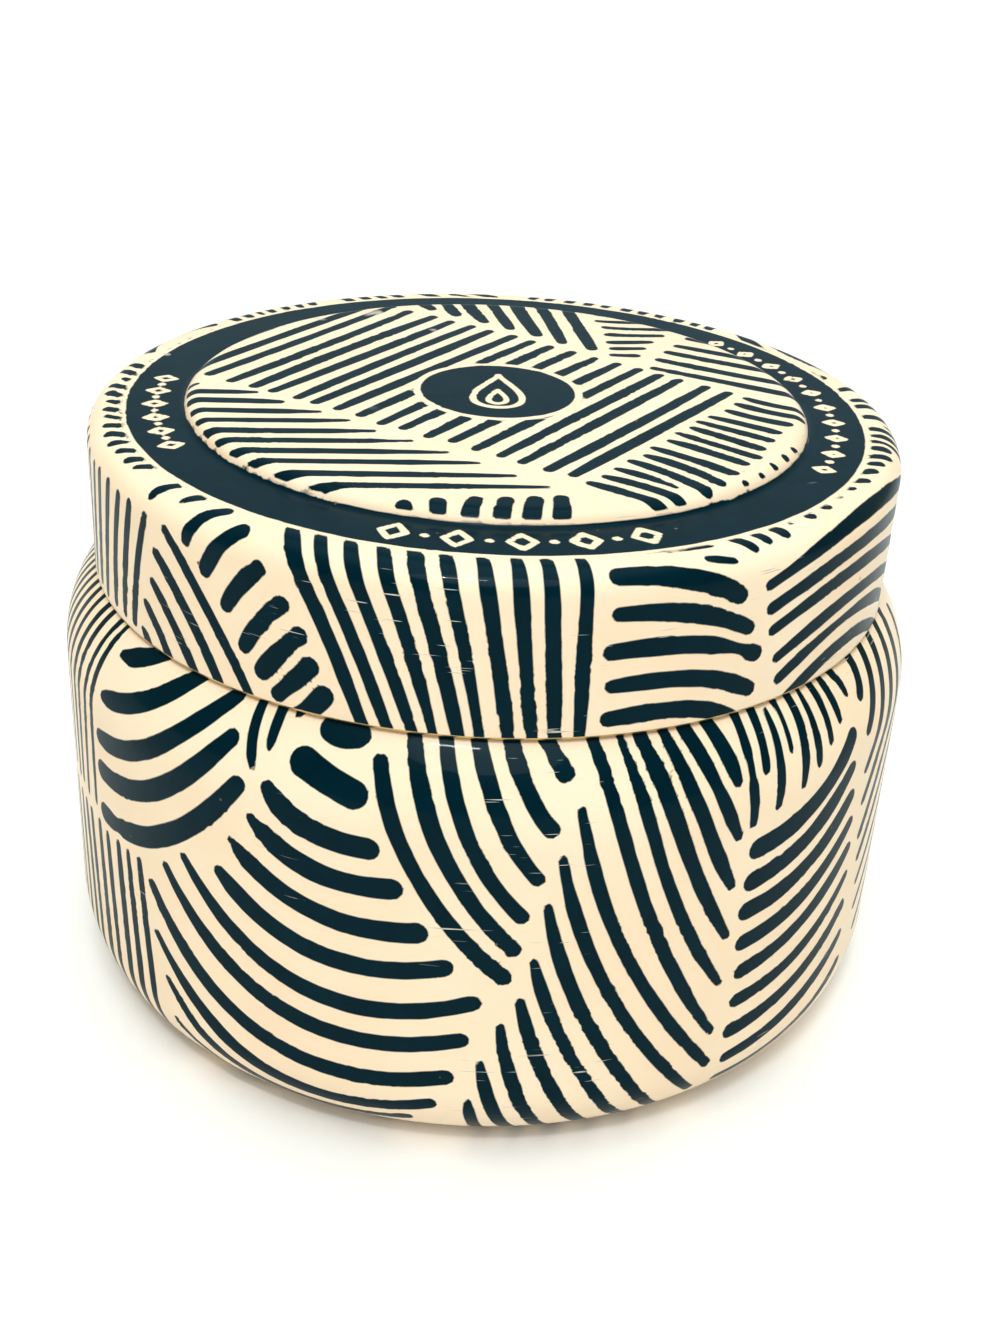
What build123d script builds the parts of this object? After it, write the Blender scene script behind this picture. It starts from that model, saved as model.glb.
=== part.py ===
"""Candle tin with a slip-on lid: a drawn tinplate body and lid, a wax fill, and two wicks on crimped tabs.

Units are millimetres. +Z is up, the origin is the middle of the resting face, and the wicks stand on the X axis.
Each sheet-metal piece is the outer skin drawn as one line from the axis outwards, thickened inwards, and turned.
"""

import math
import os

from build123d import *

# Sheet and clearances
SHEET = 0.30
LID_GAP = 0.30          # lid hem above the shoulder when the lid is seated
NECK_CLEARANCE = 0.25   # between the lid's hem and the neck, all round
WAX_SHRINK = 0.05       # set wax draws this far away from the metal
FIT = 0.02              # around the pieces that are cast into the wax or crimped

# Body
BODY_RADIUS = 50.5
FOOT_CORNER = 10.0      # radius between the base and the wall
BASE_RECESS = 1.2       # the base panel is pressed up by this much
RECESS_RADIUS = 36.0
RECESS_SLOPE = 1.6      # width of the step round the recess
RECESS_BEND = 0.7
SHOULDER_START = 41.4   # height at which the wall turns in
SHOULDER_BEND = 13.5
NECK_BEND = 0.8
RIM_HEIGHT = 62.0
RIM_CURL = 0.80         # outer radius of the rim's inward curl
RIM_CURL_TURN = 265

# Lid
LID_RADIUS = 46.6
LID_TOP = 69.5          # height of the flat ring round the raised panel
LID_CORNER = 2.8
PANEL_RISE = 1.5
PANEL_FOOT_RADIUS = 35.9
PANEL_SLOPE = 65        # degrees from the horizontal
PANEL_TOP_BEND = 2.0
PANEL_FOOT_BEND = 0.5
HEM_CURL = 0.45         # outer radius of the hem's inward curl
HEM_CURL_TURN = 235

# Candle
WAX_LEVEL = 35.8
WICK_OFFSET = 20.0
WICK_RADIUS = 1.3
WICK_STICKS_OUT = 7.0
TAB_RADIUS = 7.5
TAB_NECK = 3.5
TAB_NECK_WALL = 0.4
STICKER_RADIUS = 7.0
STICKER_THICK = 0.8

# Paper label under the base
LABEL_RADIUS = 31.0
LABEL_THICK = 0.12

HEM_RADIUS = LID_RADIUS - HEM_CURL
NECK_RADIUS = LID_RADIUS - 2 * HEM_CURL - NECK_CLEARANCE
SHOULDER_CENTRE = BODY_RADIUS - SHOULDER_BEND
FLOOR = BASE_RECESS + SHEET


def shoulder_height(radius):
    """Height of the body's outer skin on the shoulder at this distance from the axis."""
    return SHOULDER_START + math.sqrt(SHOULDER_BEND**2 - (radius - SHOULDER_CENTRE) ** 2)


LID_BOTTOM = shoulder_height(HEM_RADIUS) + LID_GAP


def body_skin():
    """The body's outer skin, from the middle of the base to the end of the rim's curl, in the XZ plane."""
    corners = [
        (0, BASE_RECESS),
        (RECESS_RADIUS, BASE_RECESS),
        (RECESS_RADIUS + RECESS_SLOPE, 0),
        (BODY_RADIUS, 0),
        (BODY_RADIUS, SHOULDER_START),
    ]
    wall = FilletPolyline(*corners, radius=[RECESS_BEND, RECESS_BEND, FOOT_CORNER])
    # The neck's bend touches the shoulder's arc from outside and the neck's straight wall.
    reach = SHOULDER_BEND + NECK_BEND
    across = NECK_RADIUS + NECK_BEND - SHOULDER_CENTRE
    angle = math.degrees(math.acos(across / reach))
    bend_height = SHOULDER_START + reach * math.sin(math.radians(angle))
    shoulder = CenterArc((SHOULDER_CENTRE, SHOULDER_START), SHOULDER_BEND, 0, angle)
    bend_centre = (NECK_RADIUS + NECK_BEND, bend_height)
    neck_bend = CenterArc(bend_centre, NECK_BEND, 180 + angle, -angle)
    neck = Line((NECK_RADIUS, bend_height), (NECK_RADIUS, RIM_HEIGHT - RIM_CURL))
    rim_centre = (NECK_RADIUS - RIM_CURL, RIM_HEIGHT - RIM_CURL)
    return [wall, shoulder, neck_bend, neck, CenterArc(rim_centre, RIM_CURL, 0, RIM_CURL_TURN)]


def lid_skin():
    """The lid's outer skin, from the middle of the raised panel to the end of the hem's curl."""
    panel_edge = PANEL_FOOT_RADIUS - PANEL_RISE / math.tan(math.radians(PANEL_SLOPE))
    hem_height = LID_BOTTOM + HEM_CURL
    corners = [
        (0, LID_TOP + PANEL_RISE),
        (panel_edge, LID_TOP + PANEL_RISE),
        (PANEL_FOOT_RADIUS, LID_TOP),
        (LID_RADIUS, LID_TOP),
        (LID_RADIUS, hem_height),
    ]
    top = FilletPolyline(*corners, radius=[PANEL_TOP_BEND, PANEL_FOOT_BEND, LID_CORNER])
    return [top, CenterArc((HEM_RADIUS, hem_height), HEM_CURL, 0, -HEM_CURL_TURN)]


def sheet_section(skin, thickness):
    """The flat section between a skin and its parallel line on the inside, which reaches no further out."""
    both = [make_face(offset(Wire(skin), amount=thickness, side=side)) for side in (Side.LEFT, Side.RIGHT)]
    return min(both, key=lambda section: section.bounding_box().max.X)


def turned(section):
    """The solid that a section drawn in XY makes when it stands up in XZ and turns about Z."""
    return revolve(Plane.XZ * section, Axis.Z)


def edges_of(lines):
    """All the edges of a list of lines, in order."""
    return [edge for line in lines for edge in line.edges()]


def tin_body():
    return turned(sheet_section(edges_of(body_skin()), SHEET))


def lid():
    return turned(sheet_section(edges_of(lid_skin()), SHEET))


def standing(radius, height, x, bottom):
    """An upright round bar with its lower face at a height."""
    return Pos(x, 0, bottom + height / 2) * Cylinder(radius, height)


def sticker(x, room=0.0):
    return standing(STICKER_RADIUS + room, STICKER_THICK, x, FLOOR)


def tab(x, room=0.0):
    """A wick tab: a disc with a short neck that is crimped round the wick. With room it is the hole in the wax."""
    bottom = FLOOR + STICKER_THICK
    neck_radius = WICK_RADIUS + FIT + TAB_NECK_WALL
    disc = standing(TAB_RADIUS + room, SHEET + room, x, bottom)
    neck = standing(neck_radius + room, TAB_NECK + room, x, bottom)
    if room:
        return disc + neck
    return disc + neck - standing(WICK_RADIUS + FIT, TAB_NECK, x, bottom)


def wick(x, room=0.0):
    bottom = FLOOR + STICKER_THICK
    return standing(WICK_RADIUS + room, WAX_LEVEL + WICK_STICKS_OUT - bottom, x, bottom)


def wax(wick_places):
    """The set wax: the inside of the body up to the fill level, less what is cast into it."""
    wall = body_skin()[0]
    outline = [
        *edges_of([wall]),
        Line(wall @ 1, (0, SHOULDER_START)).edge(),
        Line((0, SHOULDER_START), wall @ 0).edge(),
    ]
    inside = make_face(outline) - sheet_section(wall.edges(), SHEET + WAX_SHRINK)
    spare = SHOULDER_START - WAX_LEVEL
    above = Pos(BODY_RADIUS / 2, WAX_LEVEL + spare) * Rectangle(2 * BODY_RADIUS, 2 * spare)
    block = turned(inside - above)
    for x in wick_places:
        block -= sticker(x, FIT) + tab(x, FIT) + wick(x, FIT)
    return block


def base_label():
    return standing(LABEL_RADIUS, LABEL_THICK, 0, BASE_RECESS - LABEL_THICK)


def main():
    os.makedirs("parts", exist_ok=True)
    wick_places = {"1": -WICK_OFFSET, "2": WICK_OFFSET}
    nodes = {
        "tin_body": tin_body(),
        "lid": lid(),
        "wax_fill": wax(wick_places.values()),
        "base_label": base_label(),
    }
    for number, x in wick_places.items():
        nodes[f"wick_{number}"] = wick(x)
        nodes[f"wick_tab_{number}"] = tab(x)
        nodes[f"wick_sticker_{number}"] = sticker(x)
    for name, shape in nodes.items():
        export_step(shape, f"parts/{name}.step")
    print("lid bottom", round(LID_BOTTOM, 3), "neck radius", round(NECK_RADIUS, 3))


main()
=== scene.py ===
import math

import bpy
import numpy as np
from mathutils import Matrix, Vector


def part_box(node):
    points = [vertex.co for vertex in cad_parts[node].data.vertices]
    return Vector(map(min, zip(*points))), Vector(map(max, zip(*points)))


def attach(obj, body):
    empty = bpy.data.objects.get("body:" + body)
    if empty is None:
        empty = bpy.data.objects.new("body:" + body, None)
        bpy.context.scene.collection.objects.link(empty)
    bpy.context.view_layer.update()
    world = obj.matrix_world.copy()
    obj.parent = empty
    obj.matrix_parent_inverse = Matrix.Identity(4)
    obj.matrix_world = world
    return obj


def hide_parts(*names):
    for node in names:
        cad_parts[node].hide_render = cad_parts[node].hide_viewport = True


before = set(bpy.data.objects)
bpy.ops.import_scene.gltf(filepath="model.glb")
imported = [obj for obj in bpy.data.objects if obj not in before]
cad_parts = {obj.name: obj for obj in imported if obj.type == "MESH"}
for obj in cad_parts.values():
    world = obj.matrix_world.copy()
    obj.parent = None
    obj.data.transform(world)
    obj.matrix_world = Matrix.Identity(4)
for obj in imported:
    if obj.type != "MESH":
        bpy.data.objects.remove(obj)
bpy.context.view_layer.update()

MM = 0.001

# ---- Camera -----------------------------------------------------------------------------------
# It looks down on the tin from close in front, a hand's breadth above the lid, and is held
# a few degrees off level.
CAMERA_BACK = 189.2
CAMERA_HEIGHT = 136.8
CAMERA_DOWN = 28.32
CAMERA_TURN = 0.6
CAMERA_ROLL = 3.13
LENS = 46.19

camera_data = bpy.data.cameras.new("camera")
camera_data.sensor_width = 36.0
camera_data.lens = LENS
camera_data.clip_start = 0.01
camera = bpy.data.objects.new("camera", camera_data)
bpy.context.collection.objects.link(camera)
camera.matrix_world = (
    Matrix.Translation(Vector((0, -CAMERA_BACK, CAMERA_HEIGHT)) * MM)
    @ Matrix.Rotation(math.radians(-CAMERA_TURN), 4, "Z")
    @ Matrix.Rotation(math.radians(90 - CAMERA_DOWN), 4, "X")
    @ Matrix.Rotation(math.radians(CAMERA_ROLL), 4, "Z")
)
bpy.context.scene.camera = camera

# ---- Floor ------------------------------------------------------------------------------------
# A plain pale table top of matt laminate, much wider than the view, moulded with a faint tooth.
FLOOR_WIDTH = 6.0
TOOTH = 0.8


def linear(hex_colour):
    """An sRGB hex colour as linear red, green, blue and alpha."""
    channels = [int(hex_colour[i:i + 2], 16) / 255 for i in (1, 3, 5)]
    bent = [c / 12.92 if c <= 0.04045 else ((c + 0.055) / 1.055) ** 2.4 for c in channels]
    return (*bent, 1.0)


def add_node(material, kind, settings=None, **links):
    """Adds a shader node. settings name its properties, and name or number its sockets. A socket is given
    its value, or the socket that it is joined to. links name more sockets, with _ for a space."""
    node = material.node_tree.nodes.new(kind)
    joined = {name.replace("_", " "): source for name, source in links.items()}
    for name, value in {**(settings or {}), **joined}.items():
        if isinstance(value, bpy.types.NodeSocket):
            material.node_tree.links.new(value, node.inputs[name])
        elif isinstance(name, int) or name in node.inputs:
            node.inputs[name].default_value = value
        else:
            setattr(node, name, value)
    return node


def new_material(name):
    """An empty node material and its output node."""
    material = bpy.data.materials.new(name)
    material.use_nodes = True
    material.node_tree.nodes.clear()
    return material, material.node_tree.nodes.new("ShaderNodeOutputMaterial")


bpy.ops.object.select_all(action="DESELECT")
bpy.ops.mesh.primitive_plane_add(size=FLOOR_WIDTH)
floor = bpy.context.object
floor.name = "floor"
laminate, output = new_material("matt laminate table top")
where = add_node(laminate, "ShaderNodeTexCoord").outputs["Object"]
tooth = add_node(laminate, "ShaderNodeTexNoise", {"Scale": 1 / (TOOTH * MM), "Detail": 2.0}, Vector=where)
relief = add_node(laminate, "ShaderNodeBump", {"Strength": 0.1, "Distance": 0.05 * MM},
                  Height=tooth.outputs["Fac"])
shine = add_node(laminate, "ShaderNodeMapRange", {"To Min": 0.55, "To Max": 0.7}, Value=tooth.outputs["Fac"])
surface = add_node(laminate, "ShaderNodeBsdfPrincipled", {"Base Color": linear("#F6F5F2")},
                   Roughness=shine.outputs[0], Normal=relief.outputs[0])
laminate.node_tree.links.new(surface.outputs["BSDF"], output.inputs["Surface"])
floor.data.materials.append(laminate)

# ---- Lights -----------------------------------------------------------------------------------
# A wide soft light from above the camera, a narrow strip lamp beside it, and a pale room with a
# bright ceiling, warmer at its sides and brighter behind the tin than in front of it. The far
# backdrop is plain and pale all round.
SOFT_LIGHT = {"from": (0.02, -0.78, 1.0), "strength": 1.06, "spread": 35}
STRIP_LAMP = {"place": (-0.08, -0.54, 0.84), "size": (0.16, 0.02), "power": 1.5}
ROOM_COLOUR, ROOM_SIDES = "#E4EFF2", "#E6CB80"
ROOM_FRONT, ROOM_BACK, CEILING = 0.24, 0.6, 2.2
BACKDROP = "#FBFAF6"


def aim(lamp, place):
    """Puts a lamp at a place and turns it towards the origin."""
    lamp.location = place
    lamp.rotation_euler = (-lamp.location).to_track_quat("-Z", "Y").to_euler()
    bpy.context.collection.objects.link(lamp)


soft_light = bpy.data.lights.new("soft light", "SUN")
soft_light.energy = SOFT_LIGHT["strength"]
soft_light.angle = math.radians(SOFT_LIGHT["spread"])
aim(bpy.data.objects.new("soft light", soft_light), Vector(SOFT_LIGHT["from"]))
strip_lamp = bpy.data.lights.new("strip lamp", "AREA")
strip_lamp.shape = "RECTANGLE"
strip_lamp.size, strip_lamp.size_y = STRIP_LAMP["size"]
strip_lamp.energy = STRIP_LAMP["power"]
aim(bpy.data.objects.new("strip lamp", strip_lamp), Vector(STRIP_LAMP["place"]))

room = bpy.data.worlds.new("room")
bpy.context.scene.world = room
room.use_nodes = True
way = add_node(room, "ShaderNodeTexCoord").outputs["Generated"]
across = add_node(room, "ShaderNodeSeparateXYZ", Vector=way)
walls = add_node(room, "ShaderNodeMapRange", {
    "interpolation_type": "SMOOTHSTEP",
    "From Min": -0.3, "From Max": 0.9, "To Min": ROOM_FRONT, "To Max": ROOM_BACK,
}, Value=across.outputs["Y"])
ceiling = add_node(room, "ShaderNodeMapRange", {
    "interpolation_type": "SMOOTHSTEP", "From Min": 0.74, "From Max": 1.0, "To Min": 0.0, "To Max": CEILING,
}, Value=across.outputs["Z"])
glow = add_node(room, "ShaderNodeMath", {"operation": "ADD", 0: walls.outputs[0], 1: ceiling.outputs[0]})
to_side = add_node(room, "ShaderNodeMath", {"operation": "ABSOLUTE", 0: across.outputs["X"]})
warmth = add_node(room, "ShaderNodeMapRange", {"From Min": 0.5, "From Max": 0.9}, Value=to_side.outputs[0])
tint = add_node(room, "ShaderNodeMix", {
    "data_type": "RGBA", 0: warmth.outputs[0], 6: linear(ROOM_COLOUR), 7: linear(ROOM_SIDES),
})
background = add_node(room, "ShaderNodeBackground", Color=tint.outputs[2], Strength=glow.outputs[0])
backdrop = add_node(room, "ShaderNodeBackground", {"Color": linear(BACKDROP)})
seen = add_node(room, "ShaderNodeLightPath")
either = add_node(room, "ShaderNodeMixShader", {
    0: seen.outputs["Is Camera Ray"], 1: background.outputs[0], 2: backdrop.outputs[0],
})
room.node_tree.links.new(either.outputs[0], room.node_tree.nodes["World Output"].inputs["Surface"])
bpy.context.scene.view_settings.view_transform = "Standard"
bpy.context.scene.view_settings.look = "Medium High Contrast"

# ---- Tin body ---------------------------------------------------------------------------------
# One shell of 0.3 mm tinplate, drawn in a press from a printed sheet: a recessed base, a wide
# rounded foot, the wall, a rounded shoulder and a bare neck with its rim curled inwards.
# Each sheet-metal shell is its skin bent run by run from the axis outwards, and then spun.
SHEET = 0.30
SEGMENTS = 540
RECESS_RADIUS = 36.0
RECESS_DEPTH, RECESS_SLOPE, RECESS_BEND = 1.2, 1.6, 0.7
FOOT_CORNER = 10.0
WALL_TOP = 41.4
SHOULDER_BEND, NECK_BEND = 13.5, 0.8
SHOULDER_TURN = 49.69
NECK_HEIGHT = 8.895
RIM_CURL, RIM_CURL_TURN = 0.8, 265.0
INSIDE_IS_COARSER = 5
BODY_START = (0, RECESS_DEPTH)
BODY_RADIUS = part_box("tin_body")[1].x / MM
recess_turn = math.degrees(math.atan2(RECESS_DEPTH, RECESS_SLOPE))
recess_tangent = RECESS_BEND * math.tan(math.radians(recess_turn / 2))
recess_flat = RECESS_RADIUS - recess_tangent
recess_slope = math.hypot(RECESS_DEPTH, RECESS_SLOPE) - 2 * recess_tangent
foot_flat = BODY_RADIUS - FOOT_CORNER - RECESS_RADIUS - RECESS_SLOPE - recess_tangent
BODY_SKIN = [
    ("go", recess_flat, 6.0),
    ("bend", RECESS_BEND, -recess_turn, 0.2),
    ("go", recess_slope, 0.8),
    ("bend", RECESS_BEND, recess_turn, 0.2),
    ("go", foot_flat, 1.4),
    ("bend", FOOT_CORNER, 90.0, 0.6),
    ("go", WALL_TOP - FOOT_CORNER, 0.6),
    ("bend", SHOULDER_BEND, SHOULDER_TURN, 0.5),
    ("bend", NECK_BEND, -SHOULDER_TURN, 0.25),
    ("go", NECK_HEIGHT, 4.5),
    ("bend", RIM_CURL, RIM_CURL_TURN, 0.35),
]
FLAT_RING_RUN = 4
SHOULDER_RUN = 7


def sheet_runs(skin, inside):
    """A sheet's outer skin, its cut edge, and the way back along its inner face.
    inside is 1 where the inner face is on the left of the way out, and -1 where it is on the right."""
    way_back = []
    for kind, size, *rest in reversed(skin):
        if kind == "go":
            way_back.append((kind, size, rest[0] * INSIDE_IS_COARSER))
        else:
            inner = size - math.copysign(SHEET, rest[0] * inside)
            way_back.append((kind, inner, -rest[0], rest[1] * INSIDE_IS_COARSER / 2))
    return [*skin, ("turn", 90 * inside), ("go", SHEET, SHEET), ("turn", 90 * inside), *way_back]


def draw_section(name, start, runs):
    """Draws a section in the XZ plane, setting out along +X: ("go", length, step) is a straight run,
    ("bend", radius, degrees, step) an arc, to the left where positive, and ("turn", degrees) a corner.
    Returns the piece and how many steps along the section each run ends."""
    bpy.ops.object.select_all(action="DESELECT")
    bpy.ops.mesh.primitive_plane_add(size=MM)
    piece = bpy.context.object
    piece.name = piece.data.name = name
    bpy.ops.object.mode_set(mode="EDIT")
    bpy.ops.mesh.merge(type="CENTER")
    place = np.array(start, float)
    bpy.ops.transform.translate(value=(place[0] * MM, 0, place[1] * MM))
    heading = 0.0
    ends = [0]
    for kind, size, *rest in runs:
        ahead = np.array([math.cos(heading), math.sin(heading)])
        count = 0
        if kind == "turn":
            heading += math.radians(size)
        elif kind == "bend":
            turn = math.radians(rest[0])
            centre = place + np.array([-ahead[1], ahead[0]]) * math.copysign(size, turn)
            count = max(2, math.ceil(abs(turn) * size / rest[1]))
            middle = (centre[0] * MM, 0, centre[1] * MM)
            bpy.ops.mesh.spin(steps=count, angle=turn, center=middle, axis=(0, 1, 0))
            turned = np.array([[math.cos(turn), -math.sin(turn)], [math.sin(turn), math.cos(turn)]])
            place = centre + turned @ (place - centre)
            heading += turn
        else:
            count = math.ceil(size / rest[0])
            step = ahead * size / count * MM
            for _ in range(count):
                bpy.ops.mesh.extrude_vertices_move(TRANSFORM_OT_translate={"value": (step[0], 0, step[1])})
            place = place + ahead * size
        ends.append(ends[-1] + count)
    bpy.ops.object.mode_set(mode="OBJECT")
    return piece, ends[1:]


def mark_along(piece, ends, start):
    """Writes each point's distance along the section, in mm, and returns it where each run ends."""
    points = np.array([v.co for v in piece.data.vertices]) / MM
    nearby = {i: [] for i in range(len(points))}
    for edge in piece.data.edges:
        one, other = edge.vertices
        nearby[one].append(other)
        nearby[other].append(one)
    here = int(np.argmin(np.abs(points[:, [0, 2]] - start).sum(axis=1)))
    before = None
    walked = [here]
    along = np.zeros(len(points))
    while len(walked) < len(points):
        after = next(i for i in nearby[here] if i != before)
        along[after] = along[here] + np.linalg.norm(points[after] - points[here])
        before, here = here, after
        walked.append(here)
    piece.data.attributes.new("along", "FLOAT", "POINT").data.foreach_set("value", along)
    return [along[walked[i]] for i in ends]


def spin_section(piece, segments):
    """Spins a drawn section round Z into a closed piece whose faces point outwards."""
    bpy.ops.object.select_all(action="DESELECT")
    piece.select_set(True)
    bpy.context.view_layer.objects.active = piece
    spin = piece.modifiers.new("spin", "SCREW")
    spin.axis = "Z"
    spin.steps = spin.render_steps = segments
    spin.use_merge_vertices = True
    spin.merge_threshold = MM / 1000
    bpy.ops.object.modifier_apply(modifier=spin.name)
    bpy.ops.object.mode_set(mode="EDIT")
    bpy.ops.mesh.select_all(action="SELECT")
    bpy.ops.mesh.remove_doubles(threshold=MM / 1000)
    bpy.ops.mesh.normals_make_consistent(inside=False)
    bpy.ops.object.mode_set(mode="OBJECT")
    bpy.ops.object.shade_smooth()


def read_points(piece):
    """A piece's points in mm, each one's azimuth in degrees from the front, and its distance along."""
    count = len(piece.data.vertices)
    points = np.empty(count * 3)
    along = np.empty(count)
    piece.data.vertices.foreach_get("co", points)
    piece.data.attributes["along"].data.foreach_get("value", along)
    points = points.reshape(-1, 3) / MM
    return points, np.degrees(np.arctan2(points[:, 0], -points[:, 1])), along


# The print is patches of brush strokes, as if painted by hand. A patch's strokes start on one rail, bow
# towards a second and end on a third. A rail's points are spread evenly over the strokes, and they are
# degrees round the body and mm up its skin from the flat ring under it. Widths are in mm, and tips are
# the widths of a stroke's two ends as shares of its full width, 0.8 at both if not given.
BODY_PRINT = {
    "far left, upper": dict(
        start=[(-94, 37), (-59.5, 36.5)], bow=[(-93, 56), (-58.2, 57)], end=[(-89, 63), (-55.5, 63)],
        strokes=14, widths=(1.05, 1.05)),
    "far left, lower": dict(
        start=[(-93, 34), (-46.5, 35.5)], bow=[(-93, 20), (-46, 24)], end=[(-93, 6), (-43.5, 6)],
        strokes=17, widths=(1.25, 1.25)),
    "left bowl": dict(
        start=[(-56.8, 58), (-56.8, 37)], bow=[(-49, 57.5), (-43.5, 47.5), (-41, 36.3)],
        end=[(-43, 64), (-31, 61.5), (-28.6, 53)], strokes=5, widths=(2.4, 2.5), tips=(1, 0.8)),
    "leaves": dict(
        start=[(-28.4, 63), (-22.6, 63)], bow=[(-28.6, 58), (-23, 61)], end=[(-27.3, 53.2), (-24, 58.6)],
        strokes=3, widths=(1.3, 1.4), tips=(0.6, 0.4)),
    "blobs": dict(
        start=[(-19.6, 60.5), (-22.4, 56.6)], bow=[(-17, 58.8), (-17.5, 54.4)],
        end=[(-13.6, 60.6), (-12.3, 54.2)], strokes=2, widths=(3.0, 3.4), tips=(0.9, 1)),
    "big bowl": dict(
        start=[(-25, 53), (-44.5, 34.3)], bow=[(-20.5, 47.8), (-21.5, 36.6), (-22.5, 23), (-29, 14.5)],
        end=[(-10.3, 48.5), (-5, 39.5), (1.8, 31), (-1.2, 21)], strokes=7, widths=(2.6, 2.1), tips=(0.6, 1)),
    "big bowl, foot": dict(
        start=[(-43.6, 27.4), (-40, 11)], bow=[(-27, 9.5), (-27, 2)], end=[(-3.6, 17), (-10, 6.5)],
        strokes=4, widths=(1.8, 1.2), tips=(0.6, 0.9)),
    "swept from the hem": dict(
        start=[(-12.8, 63), (7.2, 63)], bow=[(-8.6, 44), (0.4, 49.5), (8.6, 59)],
        end=[(4.4, 33.6), (7.0, 43), (10.6, 57)], strokes=6, widths=(1.85, 1.75), tips=(0.9, 1)),
    "leaning, upper": dict(
        start=[(28.4, 63), (13.6, 63)], bow=[(30.8, 58.5), (19.5, 38)], end=[(32.2, 53.4), (32.5, 22)],
        strokes=6, widths=(1.65, 1.65), tips=(1, 0.6)),
    "leaning, lower": dict(
        start=[(11.7, 54), (0.4, 17.5)], bow=[(15.4, 35), (11.4, 25), (6.5, 17), (1.1, 13)],
        end=[(32.3, 17.3), (29, 6.5), (15.5, 6), (3.5, 6)], strokes=8, widths=(1.65, 1.5), tips=(0.6, 0.8)),
    "under the hem": dict(
        start=[(33.4, 63), (51.6, 63)], bow=[(34, 56), (53.2, 60)], end=[(34, 48.6), (42.5, 50), (53.6, 57)],
        strokes=9, widths=(1.3, 1.2), tips=(1, 0.7)),
    "swept up": dict(
        start=[(34.2, 45), (34.4, 9.5)], bow=[(45.5, 45.6), (48.5, 10)],
        end=[(53.4, 53.5), (57.6, 35.5), (62, 15)], strokes=10, widths=(2.5, 1.5), tips=(1, 0.8)),
    "far right": dict(
        start=[(56.2, 56), (59.5, 38), (64.5, 23), (75, 7)], bow=[(59.5, 58), (69, 52), (80, 34), (85, 18)],
        end=[(58.5, 63), (76, 63), (91, 50), (93.5, 26)], strokes=12, widths=(1.5, 1.5), tips=(0.9, 0.9)),
    "arches": dict(
        start=[(97, 60), (97, 7)], bow=[(110, 66), (112, 17)], end=[(124, 59), (128, 5)],
        strokes=11, widths=(2.2, 2.2), tips=(0.9, 0.7)),
    "under the far right": dict(
        start=[(82, 6.5), (93, 19)], bow=[(86, 9), (90, 14)], end=[(92, 6.5), (93.5, 12)],
        strokes=2, widths=(1.4, 1.4)),
    "back, uprights": dict(
        start=[(128, 63), (151, 63)], bow=[(132, 50), (153, 48)], end=[(131, 33), (155, 36)],
        strokes=9, widths=(1.5, 1.5), tips=(1, 0.6)),
    "back, low bowls": dict(
        start=[(132, 28), (134, 8)], bow=[(147, 20), (150, 1)], end=[(166, 34), (170, 12)],
        strokes=6, widths=(2.1, 2.1), tips=(0.8, 0.8)),
    "back, swept from the hem": dict(
        start=[(155, 63), (178, 63)], bow=[(158, 46), (171, 50), (182, 59)],
        end=[(172, 38), (181, 44), (187, 57)], strokes=7, widths=(1.9, 1.9), tips=(0.9, 0.8)),
    "back, leaning": dict(
        start=[(211, 63), (192, 60), (182, 38), (174, 22)], bow=[(205, 42), (194, 36), (183, 24), (175, 15)],
        end=[(206, 6), (193, 6), (182, 6), (176, 6)], strokes=10, widths=(1.6, 1.6), tips=(0.8, 0.7)),
    "back, rungs": dict(
        start=[(209, 51), (210, 7)], bow=[(219, 49), (222, 14)], end=[(229, 55), (233, 12)],
        strokes=10, widths=(2.2, 2.2), tips=(0.9, 0.8)),
    "back, under the hem": dict(
        start=[(215, 63), (233, 63)], bow=[(215, 58), (233, 58)], end=[(214, 56.5), (229, 59)],
        strokes=5, widths=(1.6, 1.6), tips=(1, 0.6)),
    "back, upper bowls": dict(
        start=[(236, 62), (233, 40)], bow=[(250, 55), (247, 33)], end=[(263, 62), (262.5, 44)],
        strokes=5, widths=(2.3, 2.3), tips=(0.8, 0.9)),
    "back, lower bowls": dict(
        start=[(236, 34), (238, 8)], bow=[(249, 27), (252, 6)], end=[(262.5, 38), (263, 16)],
        strokes=6, widths=(1.9, 1.9), tips=(0.8, 0.8)),
}
BODY_SEED = 11
# Heights up the skin are measured from this radius, on the flat ring that the tin rests on.
MEASURED_FROM = 38.0
PRINT_ENDS_UNDER_HEM = 61.6
PRINTED_PAST_SHOULDER = 0.3
# Places further than this from every stroke's edge count as this far.
NO_INK = 3.0
# Strokes keep this clear of each other. Towards a narrow place a stroke's half width shrinks by no more
# than 0.3 mm in each mm, and a stroke ends where its half width would be under the thinnest.
CLEARANCE = 0.9
THINS_BY = 0.3
THINNEST = 0.34
HAND_WAVER = 0.2
STROKE_POINTS = 17


def ink_depth(places, painted, way_round=None):
    """Each place's distance to the nearest stroke's edge in mm, negative within a stroke.
    way_round is where the first axis meets itself again."""
    depth = np.full(len(places), NO_INK)
    for points, half_widths in painted:
        middle = points.mean(axis=0)
        offsets = places - middle
        if way_round:
            offsets[:, 0] -= np.round(offsets[:, 0] / way_round) * way_round
        line = points - middle
        reach = np.abs(line).max(axis=0) + half_widths.max() + NO_INK
        near = np.where((np.abs(offsets) < reach).all(axis=1))[0]
        if not len(near):
            continue
        offsets = offsets[near]
        nearest = np.full(len(near), NO_INK)
        for one, other, width, next_width in zip(line[:-1], line[1:], half_widths[:-1], half_widths[1:]):
            way = other - one
            share = np.clip((offsets - one) @ way / (way @ way), 0, 1)
            gap = np.linalg.norm(offsets - one - share[:, None] * way, axis=1)
            nearest = np.minimum(nearest, gap - width - share * (next_width - width))
        depth[near] = np.minimum(depth[near], nearest)
    return depth


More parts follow.
